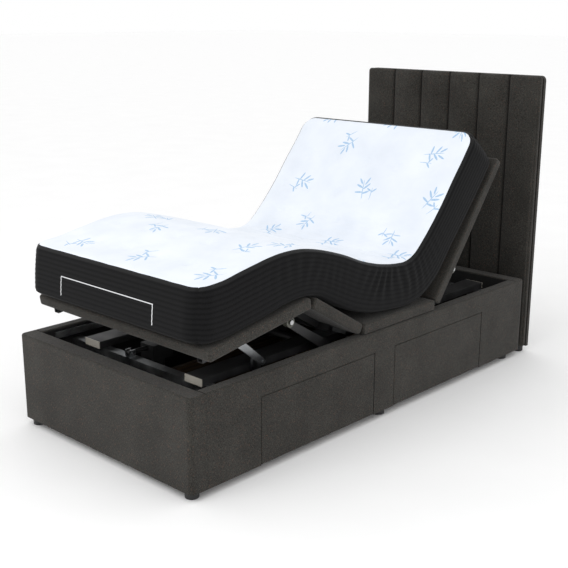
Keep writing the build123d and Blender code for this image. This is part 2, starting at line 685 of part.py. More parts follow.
def roller(side, place):
    """A nylon roller with a dished outer face."""
    wide = (side * 405, side * 429)
    with BuildPart() as wheel:
        rod_along_x((min(wide), max(wide)), *place, ROLLER)
        outer_face = wheel.faces().sort_by(Axis.X)[-1 if side > 0 else 0]
        with BuildSketch(outer_face):
            Circle(ROLLER - 5)
        extrude(amount=-3, mode=Mode.SUBTRACT)
        rod_along_x((min(wide), max(wide)), *place, 9)
        bore_x = (min(side * 400, side * 435), max(side * 400, side * 435))
        rod_along_x(bore_x, *place, ROLLER_PIN + PIN_PLAY, Mode.SUBTRACT)
    return wheel


LIFTS = {
    "leg": (LEG_TUBE_Y, -1, LEG_ARM, LEG_ARM_ANGLE, LEG_CRANK_LEAN),
    "back": (BACK_TUBE_Y, 1, BACK_ARM, BACK_ARM_ANGLE, BACK_CRANK_LEAN),
}
for name, (tube_y, direction, length, angle, lean) in LIFTS.items():
    place = roller_place(tube_y, direction, length, angle)
    save(lift_tube(tube_y, lean), f"{name}_lift_tube")
    save(lift_arms(tube_y, direction, length, angle), f"{name}_lift_arms")
    save(roller_pins(place), f"{name}_roller_pins")
    save(roller(1, place), f"near_{name}_roller")
    save(roller(-1, place), f"far_{name}_roller")


# ---------------------------------------------------------------- actuators
def push_rod(pin_y, tip_y):
    """A round rod with an eye round the crank pin; the eye has play for the pin's arc."""
    with BuildPart() as rod:
        rod_along_y(ACTUATOR_X, (min(pin_y, tip_y), max(pin_y, tip_y)), ROD_Z, ROD)
        rod_along_x((ACTUATOR_X - 10, ACTUATOR_X + 10), pin_y, ROD_Z, ROD_EYE)
        rod_along_x((ACTUATOR_X - 11, ACTUATOR_X + 11), pin_y, ROD_Z, ROD_PIN + ROD_PIN_PLAY, Mode.SUBTRACT)
    return rod


def outer_tube(open_y, gearbox_y):
    """The tube that the rod slides in, open at the rod's end."""
    with BuildPart() as sleeve:
        ends = (min(open_y, gearbox_y), max(open_y, gearbox_y))
        rod_along_y(ACTUATOR_X, ends, ROD_Z, OUTER_TUBE)
        rod_along_y(ACTUATOR_X, ends, ROD_Z, ROD + 0.1, Mode.SUBTRACT)
    return sleeve


def motor(gearbox_y, rear):
    """Gearbox, hanging motor and rear eye as one moulded unit; rear is -1 or 1 along Y."""
    far = gearbox_y + rear * 100
    eye_y = rear * REAR_PIN_Y
    with BuildPart() as unit:
        rod_along_z(ACTUATOR_X, gearbox_y + rear * 50, (160, 300), 29)
        chamfer(unit.edges().group_by(Axis.Z)[0], 5)
        block((ACTUATOR_X - 38, ACTUATOR_X + 38), (min(gearbox_y, far), max(gearbox_y, far)), (286, 349))
        stub = far - rear * 5
        rod_along_y(ACTUATOR_X, (min(stub, eye_y), max(stub, eye_y)), ROD_Z, ROD)
        rod_along_x((ACTUATOR_X - 10, ACTUATOR_X + 10), eye_y, ROD_Z, 12)
        rod_along_x((ACTUATOR_X - 11, ACTUATOR_X + 11), eye_y, ROD_Z, ROD_PIN + PIN_PLAY, Mode.SUBTRACT)
    return unit


ACTUATORS = {"leg": (-1, -330, -680), "back": (1, 320, 640)}
for name, (rear, open_y, gearbox_y) in ACTUATORS.items():
    tube_y, lean = LIFTS[name][0], LIFTS[name][4]
    pin_y = tube_y + CRANK * sin(radians(lean))
    save(push_rod(pin_y, pin_y + rear * 330), f"{name}_push_rod")
    save(outer_tube(open_y, gearbox_y - rear * 0.2), f"{name}_outer_tube")
    save(motor(gearbox_y, rear), f"{name}_motor")

with BuildPart() as rear_pins:
    for y in (-REAR_PIN_Y, REAR_PIN_Y):
        rod_along_x((ACTUATOR_X - 19, ACTUATOR_X + 19), y, ROD_Z, ROD_PIN)
save(rear_pins, "rear_pins")
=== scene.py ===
# %% [markdown]
# # An adjustable single bed with a padded headboard
# The steel, the timber boxes and the upholstered boards come in as a fixed frame from the CAD
# model. This lesson dresses that frame: it gives each part a finish, and it builds the soft
# goods, which are the mattress and the channelled headboard pad. Nothing from the frame is moved.

# %% Load the frame
import json

from math import cos, exp, pi, radians, sin

import bmesh
import bpy
from mathutils import Matrix, Vector, noise


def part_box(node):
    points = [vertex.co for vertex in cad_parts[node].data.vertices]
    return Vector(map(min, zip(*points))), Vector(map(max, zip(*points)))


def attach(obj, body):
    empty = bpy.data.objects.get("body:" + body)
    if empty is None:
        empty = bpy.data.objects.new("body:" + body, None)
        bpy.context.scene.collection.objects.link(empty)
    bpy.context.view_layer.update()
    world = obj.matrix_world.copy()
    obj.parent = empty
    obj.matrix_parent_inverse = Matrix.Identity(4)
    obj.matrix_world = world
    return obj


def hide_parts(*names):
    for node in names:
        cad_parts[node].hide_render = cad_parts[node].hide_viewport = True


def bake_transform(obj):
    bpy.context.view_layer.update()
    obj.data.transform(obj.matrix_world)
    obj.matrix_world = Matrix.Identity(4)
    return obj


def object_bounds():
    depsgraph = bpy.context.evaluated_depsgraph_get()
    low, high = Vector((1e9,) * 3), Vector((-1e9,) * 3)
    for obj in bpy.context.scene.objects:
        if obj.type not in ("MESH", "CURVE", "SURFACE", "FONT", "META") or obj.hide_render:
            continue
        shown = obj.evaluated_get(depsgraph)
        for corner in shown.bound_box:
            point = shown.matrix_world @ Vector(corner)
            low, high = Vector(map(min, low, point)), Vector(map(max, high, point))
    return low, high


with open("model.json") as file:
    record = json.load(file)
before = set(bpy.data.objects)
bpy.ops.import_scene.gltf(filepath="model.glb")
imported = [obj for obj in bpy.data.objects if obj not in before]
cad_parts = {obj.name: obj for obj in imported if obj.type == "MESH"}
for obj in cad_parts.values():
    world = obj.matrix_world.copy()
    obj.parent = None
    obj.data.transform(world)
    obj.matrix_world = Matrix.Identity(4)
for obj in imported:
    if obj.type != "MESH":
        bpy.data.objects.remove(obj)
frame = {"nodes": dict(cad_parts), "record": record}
cad_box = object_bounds()
print("the frame is", [round(v, 3) for v in cad_box[1] - cad_box[0]], "m")

# %% [markdown]
# ## Helpers for materials
# A shader is a graph of nodes. One small function adds any node, sets it up and wires its inputs,
# so that each finish below reads as a short list. Colours are written as sRGB hex, the way a
# paint chart gives them, and one function turns them to the linear values that a shader mixes in.


# %% Colours and nodes
def linear(hex_colour):
    """The linear colour of an sRGB hex value, with an alpha of 1."""
    parts = [int(hex_colour[i : i + 2], 16) / 255 for i in (1, 3, 5)]
    return [c / 12.92 if c <= 0.04045 else ((c + 0.055) / 1.055) ** 2.4 for c in parts] + [1]


def add(tree, kind, inputs=None, **settings):
    """Adds a node, fills its inputs with values or sockets, and returns its first output."""
    node = tree.nodes.new("ShaderNode" + kind)
    for name, value in settings.items():
        setattr(node, name, value)
    for name, value in (inputs or {}).items():
        if isinstance(value, bpy.types.NodeSocket):
            tree.links.new(value, node.inputs[name])
        else:
            node.inputs[name].default_value = value
    return node.outputs[0]


def ramp(tree, value, stops):
    """A colour ramp over value, with stops of (position, hex colour)."""
    out = add(tree, "ValToRGB", {0: value})
    elements = out.node.color_ramp.elements
    for i, (position, colour) in enumerate(stops):
        element = elements[i] if i < 2 else elements.new(position)
        element.position = position
        element.color = linear(colour)
    return out


def finish_named(name, roughness, metallic=0.0, **constants):
    """A new material with its shader; constants are values that are the same all over."""
    material = bpy.data.materials.new(name)
    material.use_nodes = True
    shader = material.node_tree.nodes["Principled BSDF"]
    shader.inputs["Roughness"].default_value = roughness
    shader.inputs["Metallic"].default_value = metallic
    for socket, value in constants.items():
        shader.inputs[socket.replace("_", " ")].default_value = value
    return material, material.node_tree, shader


def wire(tree, shader, **sockets):
    """Joins outputs to the shader's inputs by name."""
    for name, output in sockets.items():
        tree.links.new(output, shader.inputs[name.replace("_", " ")])


# %% [markdown]
# ## Heathered linen
# The divan, the drawers, the panels and the headboard wear one woven upholstery cloth: polyester
# linen in charcoal with a brown cast. Its yarns are dyed unevenly, so the eye sees short light
# and dark dashes along the warp and the weft, with a few warm flecks. The real yarns are about
# 0.8 mm wide and would vanish at this distance, so the dashes are drawn about 5 mm long and the
# weave at 3 mm. Noise stretched along each axis makes the dashes, and three gentle waves make the
# weave's relief.


# %% Linen material
def linen(name, dark, middle, light, fleck, crease=None):
    """Woven upholstery cloth in three tones with flecks of a fourth; crease names an attribute
    that is 1 where the cloth is drawn down into a seam, and there the colour is painted darker as
    shade."""
    material, tree, shader = finish_named(name, 0.86, Sheen_Weight=0.12, Sheen_Roughness=0.45)
    shader.inputs["Specular IOR Level"].default_value = 0.12
    place = add(tree, "TexCoord").node.outputs["Object"]
    dashes = None
    for stretch in ((1, 0.22, 1), (1, 1, 0.22), (0.22, 1, 1)):
        yarn = add(tree, "Mapping", {"Vector": place, "Scale": stretch})
        dash = add(tree, "TexNoise", {"Vector": yarn, "Scale": 560, "Detail": 2, "Roughness": 0.7})
        if dashes is None:
            dashes = dash
        else:
            dashes = add(tree, "Math", {0: dashes, 1: dash}, operation="ADD")
    heather = add(tree, "Math", {0: dashes, 1: 3}, operation="DIVIDE")
    cloudy = add(tree, "TexNoise", {"Vector": place, "Scale": 7, "Detail": 3})
    patchy = add(tree, "Math", {0: cloudy, 1: 0.12, 2: -0.06}, operation="MULTIPLY_ADD")
    tone = add(tree, "Math", {0: heather, 1: patchy}, operation="ADD")
    base = ramp(tree, tone, [(0.41, dark), (0.6, light), (0.5, middle)])
    # Painted shade: the crease attribute mixes the colour towards near-black along the seams.
    if crease:
        shade = add(tree, "Attribute", attribute_name=crease).node.outputs["Fac"]
        base = add(
            tree, "Mix", {0: shade, 6: base, 7: linear("#0B0A09")}, data_type="RGBA"
        ).node.outputs[2]
    specks = add(tree, "TexNoise", {"Vector": place, "Scale": 190, "Detail": 1})
    where = add(tree, "MapRange", {0: specks, 1: 0.63, 2: 0.71, 3: 0.0, 4: 0.5})
    colour = add(
        tree, "Mix", {0: where, 6: base, 7: linear(fleck)}, data_type="RGBA"
    ).node.outputs[2]
    relief = heather
    for direction in "XYZ":
        wave = add(
            tree, "TexWave", {"Vector": place, "Scale": 105, "Distortion": 0.6, "Detail": 0},
            bands_direction=direction,
        )
        relief = add(tree, "Math", {0: wave, 1: 0.3, 2: relief}, operation="MULTIPLY_ADD")
    bump = add(tree, "Bump", {"Strength": 0.45, "Distance": 0.0012, "Height": relief})
    wire(tree, shader, Base_Color=colour, Normal=bump)
    return material


LINEN_TONES = ("#1E1D1B", "#31302D", "#494743", "#5F473C")
body_linen = linen("linen_charcoal_woven", *LINEN_TONES)
# The channel cloth is the same linen with painted shade along its sewn seams.
channel_linen = linen("linen_charcoal_sewn_channels", *LINEN_TONES, crease="seam_painted_shade")
print("made", body_linen.name, "and", channel_linen.name)

# %% [markdown]
# ## Lining cloth
# Inside the box the boards are faced with a thin black non-woven cloth, stapled flat. It is
# felt-like: no threads, only a soft fibrous mottling, and it drinks the light.


# %% Lining material
def lining():
    """Black spun-bonded lining cloth."""
    material, tree, shader = finish_named("spunbond_black_lining", 0.95, Sheen_Weight=0.05)
    place = add(tree, "TexCoord").node.outputs["Object"]
    fibres = add(tree, "TexNoise", {"Vector": place, "Scale": 240, "Detail": 4, "Roughness": 0.7})
    colour = ramp(tree, fibres, [(0.3, "#0B0B0B"), (0.7, "#1C1B1B")])
    bump = add(tree, "Bump", {"Strength": 0.3, "Distance": 0.0008, "Height": fibres})
    wire(tree, shader, Base_Color=colour, Normal=bump)
    return material


# %% [markdown]
# ## Hard finishes
# The lifting frame is steel tube with a black powder coat, which is a baked polymer with a fine
# orange peel. Smaller plates are zinc plated, bright grey and slightly mottled. Pins are ground
# bright. The motors are moulded ABS with a spark-eroded grain, the rail ends pale polypropylene,
# and the rollers nylon. Each gets its own grain size, and a little more wear where noise says so.


# %% Moulded, plated and coated materials
def grained(name, dark, light, grain_mm, relief_mm, roughness, metallic=0.0, **constants):
    """A hard finish whose colour wanders a little, over a grain of a real size."""
    material, tree, shader = finish_named(name, roughness, metallic, **constants)
    place = add(tree, "TexCoord").node.outputs["Object"]
    grain = add(tree, "TexNoise", {"Vector": place, "Scale": 500 / grain_mm, "Detail": 2})
    cloudy = add(tree, "TexNoise", {"Vector": place, "Scale": 14, "Detail": 4, "Roughness": 0.6})
    colour = ramp(tree, cloudy, [(0.3, dark), (0.7, light)])
    rough = add(
        tree, "MapRange", {0: cloudy, 1: 0.3, 2: 0.7, 3: roughness - 0.06, 4: roughness + 0.08}
    )
    bump = add(tree, "Bump", {"Strength": 0.35, "Distance": relief_mm / 1000, "Height": grain})
    wire(tree, shader, Base_Color=colour, Roughness=rough, Normal=bump)
    return material


def pine():
    """Softwood stained dark, with long growth rings along the boards."""
    material, tree, shader = finish_named("pine_stained_dark", 0.6)
    place = add(tree, "TexCoord").node.outputs["Object"]
    along = add(tree, "Mapping", {"Vector": place, "Scale": (12, 1.2, 12)})
    rings = add(
        tree, "TexWave", {"Vector": along, "Scale": 1.6, "Distortion": 5, "Detail": 3},
        wave_type="RINGS", rings_direction="Y",
    )
    colour = ramp(tree, rings, [(0.1, "#35291D"), (0.85, "#4D3D2B")])
    bump = add(tree, "Bump", {"Strength": 0.2, "Distance": 0.0005, "Height": rings})
    wire(tree, shader, Base_Color=colour, Normal=bump)
    return material


SLOT_FINISHES = {
    "charcoal_linen": body_linen,
    "black_lining": lining(),
    "pine_board": pine(),
    "powder_coated_steel": grained("powder_coat_black", "#1B1B1C", "#2C2C2D", 1.2, 0.05, 0.48),
    "zinc_plated_steel": grained("zinc_plate", "#8E9194", "#B9BBBC", 2.0, 0.03, 0.36, 1.0),
    "ground_steel": grained("steel_ground_bright", "#A7A8AA", "#CFCFD0", 0.8, 0.01, 0.2, 1.0),
    "black_plastic": grained("abs_black_moulded", "#121213", "#1E1E1F", 1.0, 0.04, 0.5),
    "ivory_plastic": grained("polypropylene_ivory", "#A9A49A", "#C4BFB4", 1.0, 0.03, 0.42),
    "nylon": grained("nylon_grey", "#4A4A43", "#66665C", 1.0, 0.02, 0.4),
}
print("made", len(SLOT_FINISHES), "finishes")

# %% [markdown]
# ## Dress the frame
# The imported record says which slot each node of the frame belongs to, so one loop gives every
# carried-over part its finish.

# %% Give each CAD node its material
bare = []
for entry in frame["record"]["subparts"]:
    dressed = frame["nodes"][entry["node"]].data
    dressed.materials.clear()
    if entry["material_slot"] in SLOT_FINISHES:
        dressed.materials.append(SLOT_FINISHES[entry["material_slot"]])
    else:
        bare.append(entry["node"])
print("nodes that a new piece will replace:", bare)

# %% [markdown]
# ## The mattress section
# A flexible mattress lies in one smooth S over the four panels. It touches the back and the foot
# panels along their whole length, but its foam can't follow a sharp fold, so it lifts a little
# over the crease of the seat. Its section is a list of rungs, each from the underside to the top,
# in metres: (y, z) below and (y, z) above. A Catmull-Rom spline runs smoothly through them.

# %% Rungs and a spline through them
RUNGS = [
    ((-1.045, 0.538), (-1.023, 0.728)),
    ((-0.977, 0.531), (-0.973, 0.733)),
    ((-0.908, 0.532), (-0.904, 0.739)),
    ((-0.837, 0.544), (-0.834, 0.753)),
    ((-0.764, 0.556), (-0.762, 0.766)),
    ((-0.688, 0.571), (-0.690, 0.778)),
    ((-0.611, 0.588), (-0.616, 0.784)),
    ((-0.530, 0.595), (-0.528, 0.780)),
    ((-0.450, 0.584), (-0.426, 0.759)),
    ((-0.362, 0.541), (-0.300, 0.720)),
    ((-0.271, 0.497), (-0.190, 0.676)),
    ((-0.178, 0.464), (-0.105, 0.650)),
    ((-0.082, 0.444), (-0.045, 0.637)),
    ((0.017, 0.434), (0.020, 0.627)),
    ((0.120, 0.432), (0.090, 0.624)),
    ((0.215, 0.455), (0.150, 0.645)),
    ((0.312, 0.520), (0.210, 0.696)),
    ((0.407, 0.632), (0.272, 0.758)),
    ((0.478, 0.711), (0.335, 0.830)),
    ((0.546, 0.787), (0.400, 0.913)),
    ((0.618, 0.873), (0.468, 0.994)),
    ((0.706, 0.984), (0.552, 1.105)),
]


def spline(points, t):
    """The point at share t along a Catmull-Rom spline through points."""
    span = t * (len(points) - 1)
    i = min(int(span), len(points) - 2)
    u = span - i
    b, c = Vector(points[i]), Vector(points[i + 1])
    a = Vector(points[i - 1]) if i > 0 else 2 * b - c
    d = Vector(points[i + 2]) if i + 2 < len(points) else 2 * c - b
    return 0.5 * (
        2 * b + (c - a) * u + (2 * a - 5 * b + 4 * c - d) * u**2 + (3 * b - a - 3 * c + d) * u**3
    )


UNDER = [rung[0] for rung in RUNGS]
OVER = [rung[1] for rung in RUNGS]
foot_low, foot_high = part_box("foot_mattress")
WIDTH = foot_high.x - foot_low.x
THICK = 0.2
steps = [spline(UNDER, i / 400).lerp(spline(OVER, i / 400), 0.5) for i in range(401)]
lengths = [0.0]
for before, after in zip(steps, steps[1:]):
    lengths.append(lengths[-1] + (after - before).length)
LENGTH = lengths[-1]
print("the mattress is", round(WIDTH, 3), "wide and", round(LENGTH, 3), "m along its middle")


def share_at(distance):
    """The spline's share t at a distance along the mattress's middle line."""
    distance = min(max(distance, 0.0), LENGTH)
    for i in range(400):
        if lengths[i + 1] >= distance:
            run = lengths[i + 1] - lengths[i]
            return (i + (distance - lengths[i]) / run) / 400
    return 1.0


SHARES = [share_at(LENGTH * i / 1000) for i in range(1001)]


def section_at(distance):
    """Underside and top of the mattress at a distance from its foot end."""
    place = min(max(distance / LENGTH, 0.0), 1.0) * 1000
    i = min(int(place), 999)
    t = SHARES[i] + (SHARES[i + 1] - SHARES[i]) * (place - i)
    return spline(UNDER, t), spline(OVER, t)


# %% [markdown]
# ## The mattress body
# A mattress is a block of springs and foam in a sewn cover: flat top, crowned border and soft
# corners. Cloth simulation would round it into a pillow, while the real one is firm, so it is
# shaped directly. A cube is cut into a fine shell, its edges and corners are rounded, the border
# gets its ribs and gathers, the top gets its tufts, and then the block is bent along the section.
# Each point remembers where it sits on the flat mattress, as (across, along, up), and the cover's
# pattern follows that.


# %% A flat block cut into a fine shell
def fine_block(size, cuts):
    """A box of the given size centred on x, from 0 along y and z, with its faces cut fine."""
    bm = bmesh.new()
    bmesh.ops.create_cube(bm, size=1)
    for axis in range(3):
        bm.edges.ensure_lookup_table()
        across = []
        for edge in bm.edges:
            step = edge.verts[1].co - edge.verts[0].co
            if abs(step[axis]) > 0.9:
                across.append(edge)
        bmesh.ops.subdivide_edges(bm, edges=across, cuts=cuts[axis], use_grid_fill=True)
    bmesh.ops.translate(bm, verts=bm.verts, vec=(0, 0.5, 0.5))
    bmesh.ops.scale(bm, verts=bm.verts, vec=size)
    return bm


EDGE_ROUND = 0.024
CORNER_ROUND = 0.07


def rounded(point, size, edge, corner):
    """A point of a box's shell, moved to round its edges and, more widely, its plan corners."""
    core = Vector(
        (
            min(max(point.x, -size[0] / 2 + edge), size[0] / 2 - edge),
            min(max(point.y, edge), size[1] - edge),
            min(max(point.z, edge), size[2] - edge),
        )
    )
    out = point - core
    if out.length > 1e-9:
        point = core + out * (edge / out.length)
    hub_x = min(max(point.x, -size[0] / 2 + corner), size[0] / 2 - corner)
    hub_y = min(max(point.y, corner), size[1] - corner)
    dx, dy = point.x - hub_x, point.y - hub_y
    reach = (dx * dx + dy * dy) ** 0.5
    if reach > 1e-9 and dx and dy:
        shrink = max(abs(dx), abs(dy)) / reach
        point = Vector((hub_x + dx * shrink, hub_y + dy * shrink, point.z))
    return point


# %% Ribs, gathers and tufts
RIBS = 11
RIB_HEIGHT = 0.0016
TUFT_PITCH = 0.17
TUFT_DEPTH = 0.009
CREASE_PITCH = 0.055
TUFT_RADIUS = 0.022
COVER_SLACK = 0.003
GATHER_PITCH = 0.047
GATHER_DEPTH = 0.0034
BORDER_CROWN = 0.004
# Where the cover gathers: a distance from the foot end, and how far the gathering spreads.
SEAT_BEND = (1.12, 0.24)
KNEE_BEND = (0.52, 0.2)
TOP_CREASE = (1.2, 0.16)


def near(along, place, spread):
    """1 at a place along the mattress, fading to 0 over its spread."""
    return exp(-(((along - place) / spread) ** 2))


def border_offset(along, up):
    """How far the border stands out: a crown, its ribs, and gathers where the mattress bends."""
    share = up / THICK
    crown = BORDER_CROWN * sin(pi * share)
    ribs = RIB_HEIGHT * abs(sin(pi * RIBS * share))
    bend = near(along, *SEAT_BEND) + 0.45 * near(along, *KNEE_BEND)
    uneven = 1 + 0.9 * noise.noise(Vector((along * 9, share * 2, 0.4)))
    fold = sin(2 * pi * along / GATHER_PITCH + 5 * noise.noise(Vector((along * 6, share, 2.2))))
    gathers = GATHER_DEPTH * bend * uneven * fold * sin(pi * share**1.6)
    return crown + ribs + gathers


def tuft_offset(across, along):
    """How far the top sinks: small tufts in staggered rows, and a slack cover between them."""
    row = round(along / TUFT_PITCH)
    shift = 0.5 * TUFT_PITCH * (row % 2)
    column = round((across - shift) / TUFT_PITCH)
    dx, dy = across - shift - column * TUFT_PITCH, along - row * TUFT_PITCH
    tuft = exp(-(dx * dx + dy * dy) / TUFT_RADIUS**2)
    slack = noise.noise(Vector((across * 7, along * 7, 3.1)))
    bend = near(along, *TOP_CREASE)
    wander = along + 0.03 * noise.noise(Vector((across * 5, along * 3, 6.4)))
    uneven = 0.5 + abs(noise.noise(Vector((across * 6, 1, along * 4))))
    crease = bend * sin(2 * pi * wander / CREASE_PITCH) * uneven
    return COVER_SLACK * slack + COVER_SLACK * crease - TUFT_DEPTH * tuft


def mattress_block():
    """The bent mattress as a bmesh, with its flat place kept on each vertex."""
    size = (WIDTH, LENGTH, THICK)
    bm = fine_block(size, (96, 200, 33))
    place_layer = bm.verts.layers.float_vector.new("mattress_place")
    for vert in bm.verts:
        flat = vert.co.copy()
        soft = rounded(flat, size, EDGE_ROUND, CORNER_ROUND)
        on_top = flat.z > THICK - 1e-5
        on_bottom = flat.z < 1e-5
        edge_x = WIDTH / 2 - abs(flat.x)
        edge_y = min(flat.y, LENGTH - flat.y)
        if not on_top and not on_bottom:
            stand = border_offset(flat.y if edge_x < 1e-5 else 0.0, flat.z)
            if edge_x < 1e-5:
                soft.x += stand * (1 if flat.x > 0 else -1)
            if edge_y < 1e-5:
                soft.y += stand * (-1 if flat.y < LENGTH / 2 else 1)
        if on_top:
            inset = min(1.0, min(edge_x, edge_y) / 0.09)
            soft.z += tuft_offset(flat.x, flat.y) * inset + 0.004 * inset
        vert[place_layer] = Vector((flat.x, flat.y, flat.z))
        low, high = section_at(soft.y)
        past = min(soft.y, 0.0) + max(soft.y - LENGTH, 0.0)
        direction = (section_at(soft.y + 0.01)[0] - section_at(soft.y - 0.01)[0]).normalized()
        at = low.lerp(high, soft.z / THICK) + direction * past
        vert.co = Vector((soft.x, at.x, at.y))
    return bm


# %% [markdown]
# ## The mattress cover
# The top is a white knit with a faint blue cast, quilted so shallowly that only the small tufts
# show, with sprigs of pale blue leaves printed here and there. The border is black knit with
# horizontal ribs, closed above by a black woven tape. On the foot end, thin white stitching draws
# an open frame.


# %% Sprigs of leaves
def sprig_mask(tree, place, cell, turn_seed):
    """1 on the leaves of a sprig that sits in each square cell of the cover, turned at random."""
    scaled = add(tree, "VectorMath", {0: place, 1: (1 / cell, 1 / cell, 0)}, operation="MULTIPLY")
    shifted = add(tree, "VectorMath", {0: scaled, 1: turn_seed}, operation="ADD")
    whole = add(tree, "VectorMath", {0: shifted}, operation="FLOOR")
    part = add(tree, "VectorMath", {0: shifted}, operation="FRACTION")
    chance = add(tree, "TexWhiteNoise", {"Vector": whole}).node.outputs["Value"]
    centred = add(tree, "VectorMath", {0: part, 1: (0.5, 0.5, 0)}, operation="SUBTRACT")
    angle = add(tree, "Math", {0: chance, 1: 6.28}, operation="MULTIPLY")
    turned = add(tree, "VectorRotate", {"Vector": centred, "Angle": angle}, rotation_type="Z_AXIS")
    metres = add(tree, "VectorMath", {0: turned, 1: (cell, cell, 1)}, operation="MULTIPLY")
    mask = None
    for x, y, angle_deg, length, width in LEAVES:
        offset = add(tree, "VectorMath", {0: metres, 1: (x, y, 0)}, operation="SUBTRACT")
        straight = add(
            tree, "VectorRotate", {"Vector": offset, "Angle": radians(-angle_deg)},
            rotation_type="Z_AXIS",
        )
        squeezed = add(
            tree, "VectorMath", {0: straight, 1: (1 / length, 1 / width, 0)}, operation="MULTIPLY"
        )
        reach = add(tree, "VectorMath", {0: squeezed}, operation="LENGTH").node.outputs["Value"]
        leaf = add(tree, "MapRange", {0: reach, 1: 1.0, 2: 0.85, 3: 0.0, 4: 1.0})
        mask = leaf if mask is None else add(tree, "Math", {0: mask, 1: leaf}, operation="MAXIMUM")
    return mask


# Each leaf: its centre, its angle, and half its length and width, in metres and degrees.
LEAVES = [
    (0.0, 0.0, 90, 0.055, 0.0022),
    (0.018, 0.012, 35, 0.023, 0.0052),
    (-0.018, 0.020, 145, 0.022, 0.0050),
    (0.020, 0.038, 55, 0.022, 0.0048),
    (-0.014, 0.044, 118, 0.020, 0.0046),
    (0.016, -0.018, 12, 0.021, 0.0046),
    (-0.020, -0.012, 170, 0.022, 0.0048),
    (0.045, -0.030, 80, 0.034, 0.0018),
    (0.058, -0.016, 30, 0.017, 0.0042),
    (0.034, -0.008, 140, 0.016, 0.0042),
]


# %% Cover materials
def top_knit():
    """White knitted top with tufts and printed sprigs."""
    material, tree, shader = finish_named("knit_white_printed", 0.85, Sheen_Weight=0.15)
    place = add(tree, "Attribute", attribute_name="mattress_place").node.outputs["Vector"]
    loops = add(tree, "TexNoise", {"Vector": place, "Scale": 260, "Detail": 2})
    clouds = add(tree, "TexNoise", {"Vector": place, "Scale": 6, "Detail": 3})
    white = ramp(tree, clouds, [(0.3, "#DDE3EC"), (0.7, "#E8EDF4")])
    leaves = add(
        tree, "Math",
        {
            0: sprig_mask(tree, place, 0.36, (0.35, 0.15, 0)),
            1: sprig_mask(tree, place, 0.47, (0.8, 0.7, 3)),
        },
        operation="MAXIMUM",
    )
    faint = add(tree, "MapRange", {0: loops, 1: 0.35, 2: 0.65, 3: 0.55, 4: 0.95})
    ink = add(tree, "Math", {0: leaves, 1: faint}, operation="MULTIPLY")
    colour = add(
        tree, "Mix", {0: ink, 6: white, 7: linear("#86B2D8")}, data_type="RGBA"
    ).node.outputs[2]
    bump = add(tree, "Bump", {"Strength": 0.3, "Distance": 0.001, "Height": loops})
    wire(tree, shader, Base_Color=colour, Normal=bump)
    return material


def between(tree, value, low, high):
    """1 where value lies between low and high, else 0."""
    above = add(tree, "Math", {0: value, 1: low}, operation="GREATER_THAN")
    below = add(tree, "Math", {0: value, 1: high}, operation="LESS_THAN")
    return add(tree, "Math", {0: above, 1: below}, operation="MULTIPLY")


def border_knit():
    """Black ribbed border with painted shade in its rib grooves, and an open frame of white
    stitching on the foot end.
    """
    material, tree, shader = finish_named("knit_black_ribbed", 0.8, Sheen_Weight=0.04)
    shader.inputs["Specular IOR Level"].default_value = 0.1
    place = add(tree, "Attribute", attribute_name="mattress_place").node.outputs["Vector"]
    parts = add(tree, "SeparateXYZ", {0: place}).node.outputs
    thread = add(tree, "TexNoise", {"Vector": place, "Scale": 300, "Detail": 2})
    ribs = add(tree, "Math", {0: parts[2], 1: RIBS * pi / THICK}, operation="MULTIPLY")
    wave = add(tree, "Math", {0: ribs}, operation="SINE")
    fold = add(tree, "Math", {0: wave}, operation="ABSOLUTE")
    mixed = add(tree, "Math", {0: fold, 1: 0.5, 2: thread}, operation="MULTIPLY_ADD")
    # Painted shade and highlight: the black follows the rib relief, darker in the grooves and
    # lighter on the crests; the thread noise is the knit's own tone.
    black = ramp(tree, mixed, [(0.4, "#050506"), (1.0, "#151516")])
    reach = add(tree, "Math", {0: parts[0]}, operation="ABSOLUTE")
    at_end = add(tree, "Math", {0: parts[1], 1: 0.001}, operation="LESS_THAN")
    rail = add(
        tree, "Math",
        {0: between(tree, parts[2], 0.104, 0.1075), 1: between(tree, reach, -1, 0.266)},
        operation="MULTIPLY",
    )
    legs = add(
        tree, "Math",
        {0: between(tree, parts[2], 0.03, 0.1075), 1: between(tree, reach, 0.262, 0.266)},
        operation="MULTIPLY",
    )
    lines = add(tree, "Math", {0: rail, 1: legs}, operation="MAXIMUM")
    white = add(tree, "Math", {0: lines, 1: at_end}, operation="MULTIPLY")
    colour = add(
        tree, "Mix", {0: white, 6: black, 7: linear("#D9DADC")}, data_type="RGBA"
    ).node.outputs[2]
    bump = add(tree, "Bump", {"Strength": 0.5, "Distance": 0.0015, "Height": mixed})
    wire(tree, shader, Base_Color=colour, Normal=bump)
    return material


def edge_tape():
    """Black woven tape with a slight shine."""
    material, tree, shader = finish_named("tape_black_woven", 0.55, Sheen_Weight=0.02)
    shader.inputs["Specular IOR Level"].default_value = 0.2
    place = add(tree, "Attribute", attribute_name="mattress_place").node.outputs["Vector"]
    thread = {"Vector": place, "Scale": 90, "Distortion": 1}
    weave = add(tree, "TexWave", thread, bands_direction="Y")
    colour = ramp(tree, weave, [(0.2, "#060607"), (0.9, "#161617")])
    bump = add(tree, "Bump", {"Strength": 0.4, "Distance": 0.0008, "Height": weave})
    wire(tree, shader, Base_Color=colour, Normal=bump)
    return material


COVER = [top_knit(), border_knit(), edge_tape()]
